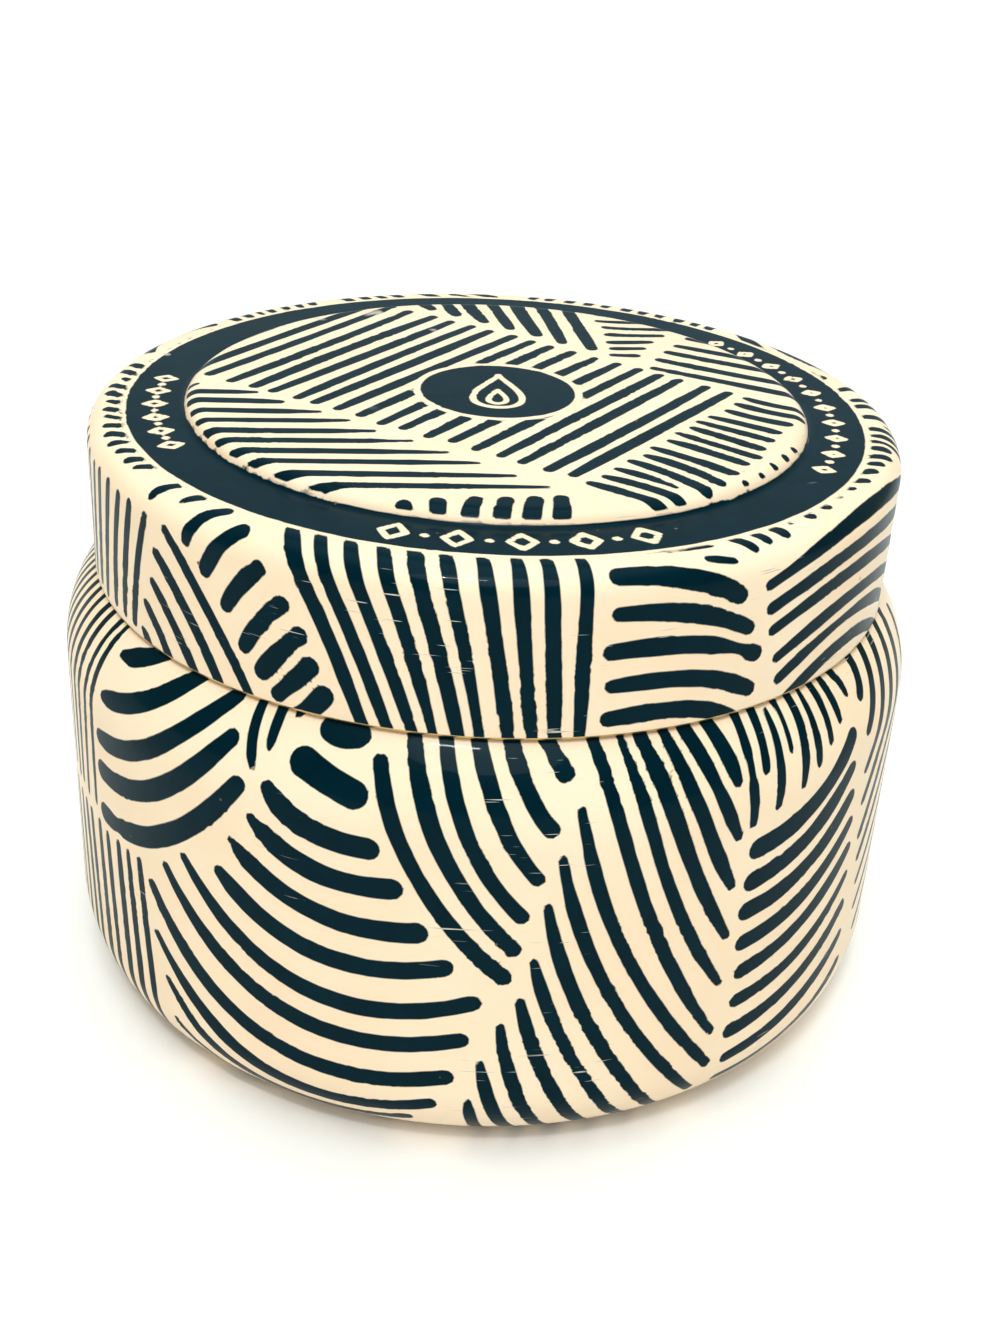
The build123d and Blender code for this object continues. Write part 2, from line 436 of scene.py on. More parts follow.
def paint_strokes(patches, seed, scale=(1, 1), way_round=None):
    """The strokes of all the patches. Each is its middle line's points and its half width at each, in mm.
    A stroke thins, or stops, where it would come too near to one painted before it."""
    hand = np.random.default_rng(seed)
    painted = []
    for patch in patches.values():
        shares = np.linspace(0, 1, patch["strokes"])
        rails = []
        for rail in (patch["start"], patch["bow"], patch["end"]):
            axes = np.array(rail, float).T
            on_rail = [np.interp(shares, np.linspace(0, 1, len(rail)), axis) for axis in axes]
            rails.append(np.stack(on_rail, axis=1) * scale)
        tips = patch.get("tips", (0.8, 0.8))
        for width, *stroke in zip(np.linspace(*patch["widths"], patch["strokes"]), *rails):
            start, bow, end = (place + hand.normal(0, HAND_WAVER, 2) for place in stroke)
            width *= hand.uniform(0.92, 1.08)
            length = np.linalg.norm(bow - start) + np.linalg.norm(end - bow)
            first, last = (min(tip * width / 2 / length, 0.45) for tip in tips)
            t = np.linspace(first, 1 - last, STROKE_POINTS)[:, None]
            points = (1 - t) ** 2 * start + 2 * t * (1 - t) * bow + t ** 2 * end
            swell = 1 + 0.05 * np.sin(hand.uniform(0, 2 * math.pi) + t[:, 0] * hand.uniform(3, 9))
            taper = np.interp(t[:, 0], [0, 0.2, 0.8, 1], [tips[0], 1, 1, tips[1]])
            room = ink_depth(points, painted, way_round) - CLEARANCE
            walked = np.append(0, np.cumsum(np.linalg.norm(np.diff(points, axis=0), axis=1)))
            room = (room + THINS_BY * np.abs(walked[:, None] - walked)).min(axis=1)
            half_widths = np.minimum(width / 2 * taper * swell, room)
            open_runs = np.split(np.arange(STROKE_POINTS), np.where(half_widths < THINNEST)[0])
            kept = [i for i in max(open_runs, key=len) if half_widths[i] >= THINNEST]
            if len(kept) > 2:
                painted.append((points[kept], half_widths[kept]))
    return painted


# Printed tinplate: a cream base coat and dark blue offset ink, both rolled on, under a stoved clear
# varnish. It gives a glossy, faintly rippled skin with soft-edged ink and a few knocks and specks.
CREAM = ("#F4D9B8", "#FBE9CF")
INK = ("#001F28", "#002F3B")
SPECK = "#8A6A48"
SCUFF = "#C9C3B4"
# The edges' waver, their ragged bristle marks and their softness, in mm.
EDGE_WAVER = 0.12
BRISTLE_WAVER = 0.12
EDGE_SOFTNESS = 0.07
SPECK_SPACING, SPECKED_SHARE = 2.6, 0.05
SCUFF_LENGTH, SCUFF_HEIGHT = 5.0, 0.24
# The size in mm, the detail and the roughness of each uneven quality of the finish.
PRINT_NOISES = {
    "waver": (3.2, 2.0, 0.5),
    "bristles": (1.1, 3.0, 0.5),
    "ragged stretches": (9.0, 2.0, 0.5),
    "scuffed patches": (16.0, 2.0, 0.5),
    "base coat": (14.0, 2.0, 0.5),
    "ink": (5.0, 4.0, 0.7),
    "shine": (9.0, 5.0, 0.65),
    "varnish ripple": (2.2, 1.0, 0.5),
}


def printed_tinplate():
    """Cream base coat with blue ink where the attribute "ink" is negative, under clear varnish."""
    material, output = new_material("offset-printed tinplate, varnished")
    where = add_node(material, "ShaderNodeTexCoord").outputs["Object"]
    uneven = {}
    for name, (size, detail, roughness) in PRINT_NOISES.items():
        settings = {"Scale": 1 / (size * MM), "Detail": detail, "Roughness": roughness}
        uneven[name] = add_node(material, "ShaderNodeTexNoise", settings, Vector=where).outputs["Fac"]

    ink = add_node(material, "ShaderNodeAttribute", {"attribute_name": "ink"}).outputs["Fac"]
    waver = add_node(material, "ShaderNodeMapRange", {"To Min": -EDGE_WAVER, "To Max": EDGE_WAVER},
                     Value=uneven["waver"])
    bristles = add_node(material, "ShaderNodeMapRange", {
        "From Min": 0.3, "From Max": 0.7, "To Min": -BRISTLE_WAVER, "To Max": BRISTLE_WAVER,
    }, Value=uneven["bristles"])
    ragged = add_node(material, "ShaderNodeMapRange", {"From Min": 0.48, "From Max": 0.6},
                      Value=uneven["ragged stretches"])
    wavering = add_node(material, "ShaderNodeMath", {"operation": "ADD", 0: ink, 1: waver.outputs[0]})
    edge = add_node(material, "ShaderNodeMath", {
        "operation": "MULTIPLY_ADD", 0: bristles.outputs[0], 1: ragged.outputs[0], 2: wavering.outputs[0],
    })
    cover = add_node(material, "ShaderNodeMapRange", {
        "From Min": -EDGE_SOFTNESS, "From Max": EDGE_SOFTNESS, "To Min": 1.0, "To Max": 0.0,
    }, Value=edge.outputs[0])

    # A speck is a small dot in the middle of some of the cells.
    cells = add_node(material, "ShaderNodeTexVoronoi", {"Scale": 1 / (SPECK_SPACING * MM)}, Vector=where)
    cell_draw = add_node(material, "ShaderNodeSeparateColor", Color=cells.outputs["Color"])
    specked = add_node(material, "ShaderNodeMapRange", {
        "From Min": SPECKED_SHARE, "From Max": SPECKED_SHARE * 0.8,
    }, Value=cell_draw.outputs[0])
    dots = add_node(material, "ShaderNodeMapRange", {"From Min": 0.10, "From Max": 0.05},
                    Value=cells.outputs["Distance"])
    specks = add_node(material, "ShaderNodeMath",
                      {"operation": "MULTIPLY", 0: specked.outputs[0], 1: dots.outputs[0]})

    # The scuffs are long and low, and lie a little off level.
    off_level = add_node(material, "ShaderNodeMapping", {
        "Rotation": (0.25, -0.2, 0.0),
        "Scale": (1 / (SCUFF_LENGTH * MM), 1 / (SCUFF_LENGTH * MM), 1 / (SCUFF_HEIGHT * MM)),
    }, Vector=where)
    streaks = add_node(material, "ShaderNodeTexNoise", {"Scale": 1.0, "Detail": 1.0},
                       Vector=off_level.outputs[0])
    strongest = add_node(material, "ShaderNodeMapRange", {"From Min": 0.70, "From Max": 0.74},
                         Value=streaks.outputs["Fac"])
    scuffed = add_node(material, "ShaderNodeMapRange", {"From Min": 0.56, "From Max": 0.62},
                       Value=uneven["scuffed patches"])
    scuffs = add_node(material, "ShaderNodeMath",
                      {"operation": "MULTIPLY", 0: strongest.outputs[0], 1: scuffed.outputs[0]})

    coat = add_node(material, "ShaderNodeMix", {
        "data_type": "RGBA", 0: uneven["base coat"], 6: linear(CREAM[0]), 7: linear(CREAM[1]),
    })
    blue = add_node(material, "ShaderNodeMix", {
        "data_type": "RGBA", 0: uneven["ink"], 6: linear(INK[0]), 7: linear(INK[1]),
    })
    colour = add_node(material, "ShaderNodeMix", {
        "data_type": "RGBA", 0: cover.outputs[0], 6: coat.outputs[2], 7: blue.outputs[2],
    })
    for share, mark in ((specks, SPECK), (scuffs, SCUFF)):
        colour = add_node(material, "ShaderNodeMix", {
            "data_type": "RGBA", 0: share.outputs[0], 6: colour.outputs[2], 7: linear(mark),
        })
    shine = add_node(material, "ShaderNodeMapRange", {"To Min": 0.24, "To Max": 0.44}, Value=uneven["shine"])
    ripple = add_node(material, "ShaderNodeBump", {"Strength": 0.12, "Distance": 0.05 * MM},
                      Height=uneven["varnish ripple"])
    film = add_node(material, "ShaderNodeBump", {"Strength": 0.25, "Distance": 0.02 * MM},
                    Height=cover.outputs[0], Normal=ripple.outputs[0])
    surface = add_node(material, "ShaderNodeBsdfPrincipled", {
        "IOR": 1.45, "Specular IOR Level": 0.04,
        "Coat Weight": 0.26, "Coat Roughness": 0.04, "Coat IOR": 1.28,
    }, Base_Color=colour.outputs[2], Roughness=shine.outputs[0],
                       Normal=film.outputs[0], Coat_Normal=ripple.outputs[0])
    material.node_tree.links.new(surface.outputs["BSDF"], output.inputs["Surface"])
    return material


# Bare tinplate: cold-rolled steel with a bright tin coating under thin gold lacquer. It shows a soft
# metal shine with the fine lines of the rolls, and it has dulled a little in patches.
def bare_tinplate():
    material, output = new_material("tinplate, lacquered")
    where = add_node(material, "ShaderNodeTexCoord").outputs["Object"]
    stretched = add_node(material, "ShaderNodeMapping",
                         {"Scale": (1 / (0.25 * MM), 1 / (9 * MM), 1 / (0.6 * MM))}, Vector=where)
    lines = add_node(material, "ShaderNodeTexNoise", {"Scale": 1.0, "Detail": 3.0},
                     Vector=stretched.outputs[0])
    dull = add_node(material, "ShaderNodeTexNoise", {"Scale": 1 / (11 * MM), "Detail": 4.0}, Vector=where)
    tint = add_node(material, "ShaderNodeMix", {
        "data_type": "RGBA", 0: dull.outputs["Fac"], 6: linear("#B89C6A"), 7: linear("#D2BD92"),
    })
    shine = add_node(material, "ShaderNodeMapRange", {"To Min": 0.2, "To Max": 0.42},
                     Value=dull.outputs["Fac"])
    grooves = add_node(material, "ShaderNodeBump", {"Strength": 0.2, "Distance": 0.02 * MM},
                       Height=lines.outputs["Fac"])
    surface = add_node(material, "ShaderNodeBsdfPrincipled", {"Metallic": 1.0},
                       Base_Color=tint.outputs[2], Roughness=shine.outputs[0], Normal=grooves.outputs[0])
    material.node_tree.links.new(surface.outputs["BSDF"], output.inputs["Surface"])
    return material


def finish_shell(piece, ink, printed_to, materials):
    """Gives a shell its ink and its two finishes: printed so far along its skin, and bare beyond."""
    piece.data.attributes.new("ink", "FLOAT", "POINT").data.foreach_set("value", ink)
    for material in materials:
        piece.data.materials.append(material)
    _, _, along = read_points(piece)
    corners = np.empty(len(piece.data.polygons), int)
    piece.data.polygons.foreach_get("loop_start", corners)
    loops = np.empty(len(piece.data.loops), int)
    piece.data.loops.foreach_get("vertex_index", loops)
    furthest = np.maximum.reduceat(along[loops], corners)
    piece.data.polygons.foreach_set("material_index", (furthest > printed_to).astype(int))


outside, inside = printed_tinplate(), bare_tinplate()
body, ends = draw_section("tin_body_shell", BODY_START, sheet_runs(BODY_SKIN, 1))
marks = mark_along(body, ends, BODY_START)
spin_section(body, SEGMENTS)
points, azimuth, along = read_points(body)
mm_per_degree = math.radians(BODY_RADIUS)
up_skin = along - marks[FLAT_RING_RUN] + BODY_RADIUS - FOOT_CORNER - MEASURED_FROM
way_round = 360 * mm_per_degree
strokes = paint_strokes(BODY_PRINT, BODY_SEED, (mm_per_degree, 1), way_round)
ink = ink_depth(np.stack([azimuth * mm_per_degree, up_skin], axis=1), strokes, way_round)
ink[up_skin > PRINT_ENDS_UNDER_HEM] = NO_INK
finish_shell(body, ink, marks[SHOULDER_RUN] + PRINTED_PAST_SHOULDER, (outside, inside))
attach(body, "tin")
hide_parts("tin_body")

# ---- Lid --------------------------------------------------------------------------------------
# A shallow drawn cap of the same printed sheet: a raised panel, a flat ring round it, a rounded
# corner and a skirt whose hem is curled inwards to grip the neck. It lifts straight off.
lid_low, lid_high = [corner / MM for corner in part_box("lid")]
HEM_RADIUS, HEM_TURN = 0.45, 235.0
LID_CORNER = 2.8
PANEL_RISE = 1.5
PANEL_FOOT_RADIUS = 35.9
PANEL_TURN = 65.0
PANEL_TOP_BEND, PANEL_FOOT_BEND = 2.0, 0.5
# The middle of the panel, as far as the disc's edge, has the finer mesh.
FINE_TO = 9.8
LID_START = (0, lid_high.z)
panel_top_tangent = PANEL_TOP_BEND * math.tan(math.radians(PANEL_TURN / 2))
panel_foot_tangent = PANEL_FOOT_BEND * math.tan(math.radians(PANEL_TURN / 2))
panel_edge = PANEL_FOOT_RADIUS - PANEL_RISE / math.tan(math.radians(PANEL_TURN))
panel_slope = PANEL_RISE / math.sin(math.radians(PANEL_TURN))
LID_SKIN = [
    ("go", FINE_TO, 0.4),
    ("go", panel_edge - panel_top_tangent - FINE_TO, 0.58),
    ("bend", PANEL_TOP_BEND, -PANEL_TURN, 0.4),
    ("go", panel_slope - panel_top_tangent - panel_foot_tangent, 0.1),
    ("bend", PANEL_FOOT_BEND, PANEL_TURN, 0.3),
    ("go", lid_high.x - LID_CORNER - PANEL_FOOT_RADIUS - panel_foot_tangent, 0.5),
    ("bend", LID_CORNER, -90.0, 0.45),
    ("go", lid_high.z - PANEL_RISE - LID_CORNER - lid_low.z - HEM_RADIUS, 0.53),
    ("bend", HEM_RADIUS, -HEM_TURN, 0.3),
]
SKIRT_RUN = 7
# Degrees round the lid, and mm up its skirt and over its corner from the hem.
SKIRT_PRINT = {
    "far left, uprights": dict(
        start=[(-100, 1), (-53, 1)], bow=[(-98, 8), (-52, 8)], end=[(-99, 17.2), (-48.5, 15.6)],
        strokes=15, widths=(1.35, 1.35)),
    "far left, ring": dict(
        start=[(-100, 18.6), (-56, 18.4)], bow=[(-98.5, 20), (-55, 20)], end=[(-97, 22), (-54, 22)],
        strokes=14, widths=(1.5, 1.5)),
    "thin slants": dict(
        start=[(-45, 15), (-51, 1.8)], bow=[(-36, 9), (-49.5, 1)], end=[(-29.5, -0.5), (-48.5, -0.5)],
        strokes=5, widths=(1.5, 1.5)),
    "short and thick": dict(
        start=[(-48.5, 17), (-38, 13), (-30, 4), (-24, -0.8)],
        bow=[(-47.6, 19.4), (-36, 17), (-27, 8.2), (-21, 0.8)],
        end=[(-46.3, 21.4), (-32.4, 19.6), (-23, 11.2), (-18.8, 3.6)],
        strokes=9, widths=(1.5, 2.3), tips=(0.8, 1)),
    "fan": dict(
        start=[(-27.5, 22), (11.5, 22)], bow=[(-20, 13), (11.6, 10)], end=[(-14, -0.8), (11.8, -0.8)],
        strokes=10, widths=(1.55, 1.55)),
    "droopy": dict(
        start=[(14.6, 17.6), (14, 2)], bow=[(25.2, 17.4), (28.7, 3.5)],
        end=[(32.5, 13), (35.2, 8), (36, 4.2), (34, -1)], strokes=5, widths=(2.0, 2.0)),
    "above the droopy": dict(
        start=[(14.5, 20), (18, 21)], bow=[(24, 19.2), (25, 20.6)], end=[(31.5, 17.4), (30, 20)],
        strokes=2, widths=(0.9, 0.9)),
    "swept up": dict(
        start=[(35.3, 14), (40.5, -0.5)], bow=[(55.5, 19.5), (55.5, 7)], end=[(77, 15), (71, -1)],
        strokes=6, widths=(1.7, 1.7)),
    "right ring": dict(
        start=[(31.5, 22), (78, 22)], bow=[(34, 20.5), (79, 21)],
        end=[(35, 17.6), (43, 19), (57, 20.2), (70, 19), (79, 17.6)], strokes=13, widths=(1.5, 1.5)),
    "right of the sweep": dict(
        start=[(82, 22), (104, 22)], bow=[(80, 12), (108, 12)], end=[(77, 0), (111, -0.5)],
        strokes=10, widths=(1.6, 1.6)),
    "back, waves": dict(
        start=[(110, 20), (114, 0.5)], bow=[(122, 25), (128, 6)], end=[(136, 18), (140, -1)],
        strokes=6, widths=(1.8, 1.8)),
    "back, fan": dict(
        start=[(140, 22), (176, 22)], bow=[(142, 12), (170, 12)], end=[(144, -0.5), (165, -0.5)],
        strokes=11, widths=(1.6, 1.6)),
    "back, slants": dict(
        start=[(180, 21), (170, 4)], bow=[(190, 16), (180, 0)], end=[(202, 12), (186, -1)],
        strokes=6, widths=(1.7, 1.7)),
    "back, ring": dict(
        start=[(184, 22), (208, 22)], bow=[(186, 20), (209, 19)], end=[(190, 18.8), (211, 14)],
        strokes=8, widths=(1.5, 1.5)),
    "back, uprights": dict(
        start=[(211, 22), (232, 22)], bow=[(208, 8), (232, 10)], end=[(196, -0.5), (229, -0.5)],
        strokes=9, widths=(1.5, 1.5)),
    "back, bars": dict(
        start=[(236, 19), (234, 1)], bow=[(246, 15), (246, -1)], end=[(255, 19), (256, 2)],
        strokes=6, widths=(1.9, 1.9)),
    "back, ring over the bars": dict(
        start=[(234, 22), (258, 22)], bow=[(235, 21), (258, 21)], end=[(236, 20.6), (258, 20.4)],
        strokes=8, widths=(1.3, 1.3)),
}
# Mm across the panel, to the right of its middle and away from the front.
PANEL_PRINT = {
    "long slants": dict(
        start=[(-38.8, 3.5), (8, -25.8)], bow=[(-28.9, 19.2), (17.6, -10.8)], end=[(-19, 35), (27.3, 4.1)],
        strokes=19, widths=(1.6, 1.6)),
    "left front": dict(
        start=[(-40, -3), (-40, -33)], bow=[(-35, -2.5), (-17, -30.6)], end=[(-30.5, -2), (6, -28.3)],
        strokes=11, widths=(1.5, 1.5), tips=(1, 0.5)),
    "front edge": dict(
        start=[(-9, -33.5), (0, -31.5), (7, -30.2)], bow=[(-8.6, -35), (7.2, -34)],
        end=[(-8.4, -38), (7.2, -38)], strokes=6, widths=(1.8, 1.8)),
    "right front": dict(
        start=[(9.7, -26.7), (28.8, 2)], bow=[(14.2, -29), (31.8, -0.8)],
        end=[(18, -32), (22.5, -27.5), (28, -18.5), (31, -10), (37, -2)],
        strokes=14, widths=(1.6, 1.5), tips=(0.6, 0.9)),
    "right front, rim": dict(
        start=[(26, -23.6), (32.6, -13.2)], bow=[(26.5, -24), (33.1, -13.4)],
        end=[(27.4, -24.9), (34.4, -13.9)], strokes=5, widths=(1.0, 1.0), tips=(0.4, 0.9)),
    "right back": dict(
        start=[(18, 11.5), (24.5, 27)], bow=[(27.5, 7), (27.8, 25.5)], end=[(37, 2.5), (31, 24)],
        strokes=6, widths=(1.6, 1.6)),
    "back": dict(
        start=[(-12, 38), (8, 38)], bow=[(-10.5, 33), (10, 27)], end=[(-9, 30.5), (11.7, 17)],
        strokes=7, widths=(1.8, 1.8)),
    "back right": dict(
        start=[(11.5, 38), (14, 15)], bow=[(15.7, 37), (15.4, 15.5)], end=[(20, 38), (23, 27.5), (16.8, 16)],
        strokes=9, widths=(1.3, 1.3)),
}
SKIRT_SEED, PANEL_SEED = 5, 8
SKIRT_STROKES_END = 20.4
PRINTED_PAST_SKIRT = 0.1
PANEL_STROKES_END = 35.7
# The blue band, and its groups of marks: from and to in degrees round, how many, and how tall.
BAND = (36.2, 42.8)
BAND_MIDDLE = 39.6
BAND_GROUPS = [(-14, 23, 9, 3.4), (-94, -62, 11, 2.3), (66, 134, 19, 2.0)]
LOZENGE_SLIMNESS, LOZENGE_LINE, DOT_RADIUS = 0.8, 0.75, 0.5
DISC_RADIUS = 8.95
DISC_MARGIN = 0.85
# The flame's two drops: how far across and tall from the middle, the middle's place, and the line.
DROPS = [(4.1, 5.6, 0.0, 0.8), (1.5, 2.3, -2.0, 0.7)]
DROP_POINTS = 49


def lozenge(across, tall, line):
    """A closed four-sided outline about the origin, as one stroke."""
    points = np.array([(0, tall), (across, 0), (0, -tall), (-across, 0), (0, tall)]) / 2
    return points, np.full(5, line / 2)


def band_ornament():
    """Cream lozenges and dots on the blue band, placed in mm round it and across it."""
    ornament = []
    per_degree = math.radians(BAND_MIDDLE)
    for first, last, count, tall in BAND_GROUPS:
        for number, degrees in enumerate(np.linspace(first, last, count)):
            if number % 2 == 0:
                points, half_widths = lozenge(tall * LOZENGE_SLIMNESS, tall, LOZENGE_LINE)
            else:
                points, half_widths = np.array([(-0.05, 0.0), (0.05, 0.0)]), np.full(2, DOT_RADIUS)
            ornament.append((points + (degrees * per_degree, 0), half_widths))
    return ornament


def disc_ornament():
    """A candle flame in cream lines on the blue disc: an outer and an inner drop, pointing away."""
    turn = np.linspace(0, 2 * math.pi, DROP_POINTS)
    ornament = []
    for across, tall, middle, line in DROPS:
        sides = across * np.sin(turn) * np.sin(turn / 2) ** 1.6
        drop = np.stack([sides, middle + tall * np.cos(turn)], axis=1)
        ornament.append((drop, np.full(DROP_POINTS, line / 2)))
    return ornament


lid, ends = draw_section("lid_shell", LID_START, sheet_runs(LID_SKIN, -1))
marks = mark_along(lid, ends, LID_START)
spin_section(lid, SEGMENTS)
points, azimuth, along = read_points(lid)
mm_per_degree = math.radians(lid_high.x)
up_skirt = marks[SKIRT_RUN] + HEM_RADIUS - along
way_round = 360 * mm_per_degree
strokes = paint_strokes(SKIRT_PRINT, SKIRT_SEED, (mm_per_degree, 1), way_round)
skirt_ink = ink_depth(np.stack([azimuth * mm_per_degree, up_skirt], axis=1), strokes, way_round)
skirt_ink = np.maximum(skirt_ink, up_skirt - SKIRT_STROKES_END)
ahead = points[:, :2] / np.maximum(np.hypot(points[:, 0], points[:, 1]), 1e-6)[:, None]
panel_ink = ink_depth(ahead * along[:, None], paint_strokes(PANEL_PRINT, PANEL_SEED))
panel_ink = np.maximum(panel_ink, np.maximum(along - PANEL_STROKES_END, DISC_RADIUS + DISC_MARGIN - along))
on_band = np.stack([azimuth * math.radians(BAND_MIDDLE), along - BAND_MIDDLE], axis=1)
band_ink = np.maximum(BAND[0] - along, along - BAND[1])
band_ink = np.maximum(band_ink, -ink_depth(on_band, band_ornament(), 360 * math.radians(BAND_MIDDLE)))
disc_ink = np.maximum(along - DISC_RADIUS, -ink_depth(ahead * along[:, None], disc_ornament()))
ink = np.minimum.reduce([skirt_ink, panel_ink, band_ink, disc_ink])
ink[along > marks[SKIRT_RUN] + HEM_RADIUS * 2] = NO_INK
finish_shell(lid, ink, marks[SKIRT_RUN] + PRINTED_PAST_SKIRT, (outside, inside))
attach(lid, "lid")
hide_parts("lid")

# ---- Wax --------------------------------------------------------------------------------------
# Soy wax, poured hot and set in the tin, round the wicks and their tabs. Its satin top has crept up
# the wall as it cooled, and has sunk a little round each wick.
WAX_INSIDE_SKIN = SHEET + 0.05
WAX_SEGMENTS = 240
# The edge that crept up the wall: the radii of its crest and of its hollow, and the hollow's turn.
CREST, HOLLOW = 0.15, 1.6
HOLLOW_TURN = 60.0
CAST_GAP = 0.02
# The tab neck's wall with its fit round the wick.
TAB_NECK_WALL = 0.42
SINK_DEPTH, SINK_REACH = 0.45, 6.0
SWIRL = 0.06
CUTTER_SEGMENTS = 48
CUTTER_TURN = 2.0
CUTTER_SPARE = 2.0
wax_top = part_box("wax_fill")[1].z / MM
wick_boxes = {number: [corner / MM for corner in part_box(f"wick_{number}")] for number in (1, 2)}
tab_low, tab_high = [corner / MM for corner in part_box("wick_tab_1")]
sticker_low, sticker_high = [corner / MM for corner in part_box("wick_sticker_1")]


def straight_out(name, places):
    """Draws a section of straight runs at right angles, through (distance from the axis, height) places."""
    runs = []
    heading = 0.0
    for (r, z), (next_r, next_z) in zip(places[:-1], places[1:]):
        wanted = math.degrees(math.atan2(next_z - z, next_r - r))
        length = math.hypot(next_r - r, next_z - z)
        runs += [("turn", wanted - heading), ("go", length, length)]
        heading = wanted
    return draw_section(name, places[0], runs)[0]


def cut_away(piece, cutter):
    """Takes a cutter's shape out of a piece, and removes the cutter."""
    cut = piece.modifiers.new("cut", "BOOLEAN")
    cut.object = cutter
    cut.operation = "DIFFERENCE"
    cut.solver = "EXACT"
    bpy.context.view_layer.objects.active = piece
    bpy.ops.object.modifier_apply(modifier=cut.name)
    bpy.data.objects.remove(cutter)


# Soy wax: a soft vegetable fat with tiny crystals. Light goes a few millimetres into it, and its satin
# top is mottled and faintly frosted.
def soy_wax():
    material, output = new_material("soy wax")
    where = add_node(material, "ShaderNodeTexCoord").outputs["Object"]
    mottle = add_node(material, "ShaderNodeTexNoise",
                      {"Scale": 1 / (7 * MM), "Detail": 5.0, "Roughness": 0.6}, Vector=where)
    frost = add_node(material, "ShaderNodeTexNoise", {"Scale": 1 / (0.7 * MM), "Detail": 3.0}, Vector=where)
    tint = add_node(material, "ShaderNodeMix", {
        "data_type": "RGBA", 0: mottle.outputs["Fac"], 6: linear("#EFE4CC"), 7: linear("#FBF5E6"),
    })
    shine = add_node(material, "ShaderNodeMapRange", {"To Min": 0.34, "To Max": 0.6},
                     Value=mottle.outputs["Fac"])
    grain = add_node(material, "ShaderNodeBump", {"Strength": 0.3, "Distance": 0.06 * MM},
                     Height=frost.outputs["Fac"])
    surface = add_node(material, "ShaderNodeBsdfPrincipled", {
        "IOR": 1.44,
        "Subsurface Weight": 0.6, "Subsurface Radius": (1.0, 0.8, 0.55), "Subsurface Scale": 3 * MM,
    }, Base_Color=tint.outputs[2], Roughness=shine.outputs[0], Normal=grain.outputs[0])
    material.node_tree.links.new(surface.outputs["BSDF"], output.inputs["Surface"])
    return material


hollow_reach = HOLLOW * math.sin(math.radians(HOLLOW_TURN))
crest_reach = CREST * (1 + math.sin(math.radians(HOLLOW_TURN)))
wax, ends = draw_section("wax", (0, RECESS_DEPTH + WAX_INSIDE_SKIN), [
    ("go", recess_flat, 6.0),
    ("bend", RECESS_BEND + WAX_INSIDE_SKIN, -recess_turn, 0.3),
    ("go", recess_slope, 0.8),
    ("bend", RECESS_BEND - WAX_INSIDE_SKIN, recess_turn, 0.2),
    ("go", foot_flat, 1.4),
    ("bend", FOOT_CORNER - WAX_INSIDE_SKIN, 90.0, 1.5),
    ("go", wax_top + (HOLLOW - CREST) / 2 - FOOT_CORNER, 5.0),
    ("bend", CREST, 90.0 + HOLLOW_TURN, 0.1),
    ("bend", HOLLOW, -HOLLOW_TURN, 0.3),
    ("go", BODY_RADIUS - WAX_INSIDE_SKIN - crest_reach - hollow_reach, 1.0),
])
spin_section(wax, WAX_SEGMENTS)
for low, high in wick_boxes.values():
    middle = (low + high) / 2
    for vertex in wax.data.vertices:
        if vertex.co.z > (wax_top - 2 * HOLLOW) * MM:
            away = math.hypot(vertex.co.x / MM - middle.x, vertex.co.y / MM) / SINK_REACH
            swirl = SWIRL * math.sin(vertex.co.x * 180 + 1.3) * math.cos(vertex.co.y * 150)
            vertex.co.z += (swirl - SINK_DEPTH * math.exp(-away * away)) * MM
    wick_hole = (high.x - low.x) / 2 + CAST_GAP
    neck_hole = wick_hole + TAB_NECK_WALL
    tab_hole = (tab_high.x - tab_low.x) / 2 + CAST_GAP
    sticker_hole = (sticker_high.x - sticker_low.x) / 2 + CAST_GAP
    disc_top = tab_low.z + SHEET + CAST_GAP
    neck_top = tab_high.z + CAST_GAP
    under = sticker_low.z - CUTTER_SPARE / 2
    cutter = straight_out("cutter", [
        (0, under),
        (sticker_hole, under),
        (sticker_hole, tab_low.z),
        (tab_hole, tab_low.z),
        (tab_hole, disc_top),
        (neck_hole, disc_top),
        (neck_hole, neck_top),
        (wick_hole, neck_top),
        (wick_hole, high.z + CUTTER_SPARE),
        (0, high.z + CUTTER_SPARE),
    ])
    spin_section(cutter, CUTTER_SEGMENTS)
    # Turned a little, so that none of its corners lies on an edge of the wax.
    turned = Matrix.Rotation(math.radians(CUTTER_TURN), 4, "Z")
    cutter.data.transform(Matrix.Translation((middle.x * MM, 0, 0)) @ turned)
    cut_away(wax, cutter)
wax.data.materials.append(soy_wax())
bpy.ops.object.select_all(action="DESELECT")
wax.select_set(True)
bpy.context.view_layer.objects.active = wax
bpy.ops.object.shade_smooth_by_angle(angle=math.radians(40))
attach(wax, "tin")
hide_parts("wax_fill")

# ---- Wicks ------------------------------------------------------------------------------------
# Two wicks of three cotton strands, plaited flat and dipped in wax so that they stand up. Each is
# crimped in its tab's neck at the bottom and trimmed square at the top.
STRAND_RADIUS = 0.42
PLAIT_ACROSS, PLAIT_THROUGH = 0.78, 0.32
PLAIT_LENGTH = 5.2
STEPS_A_PLAIT = 24


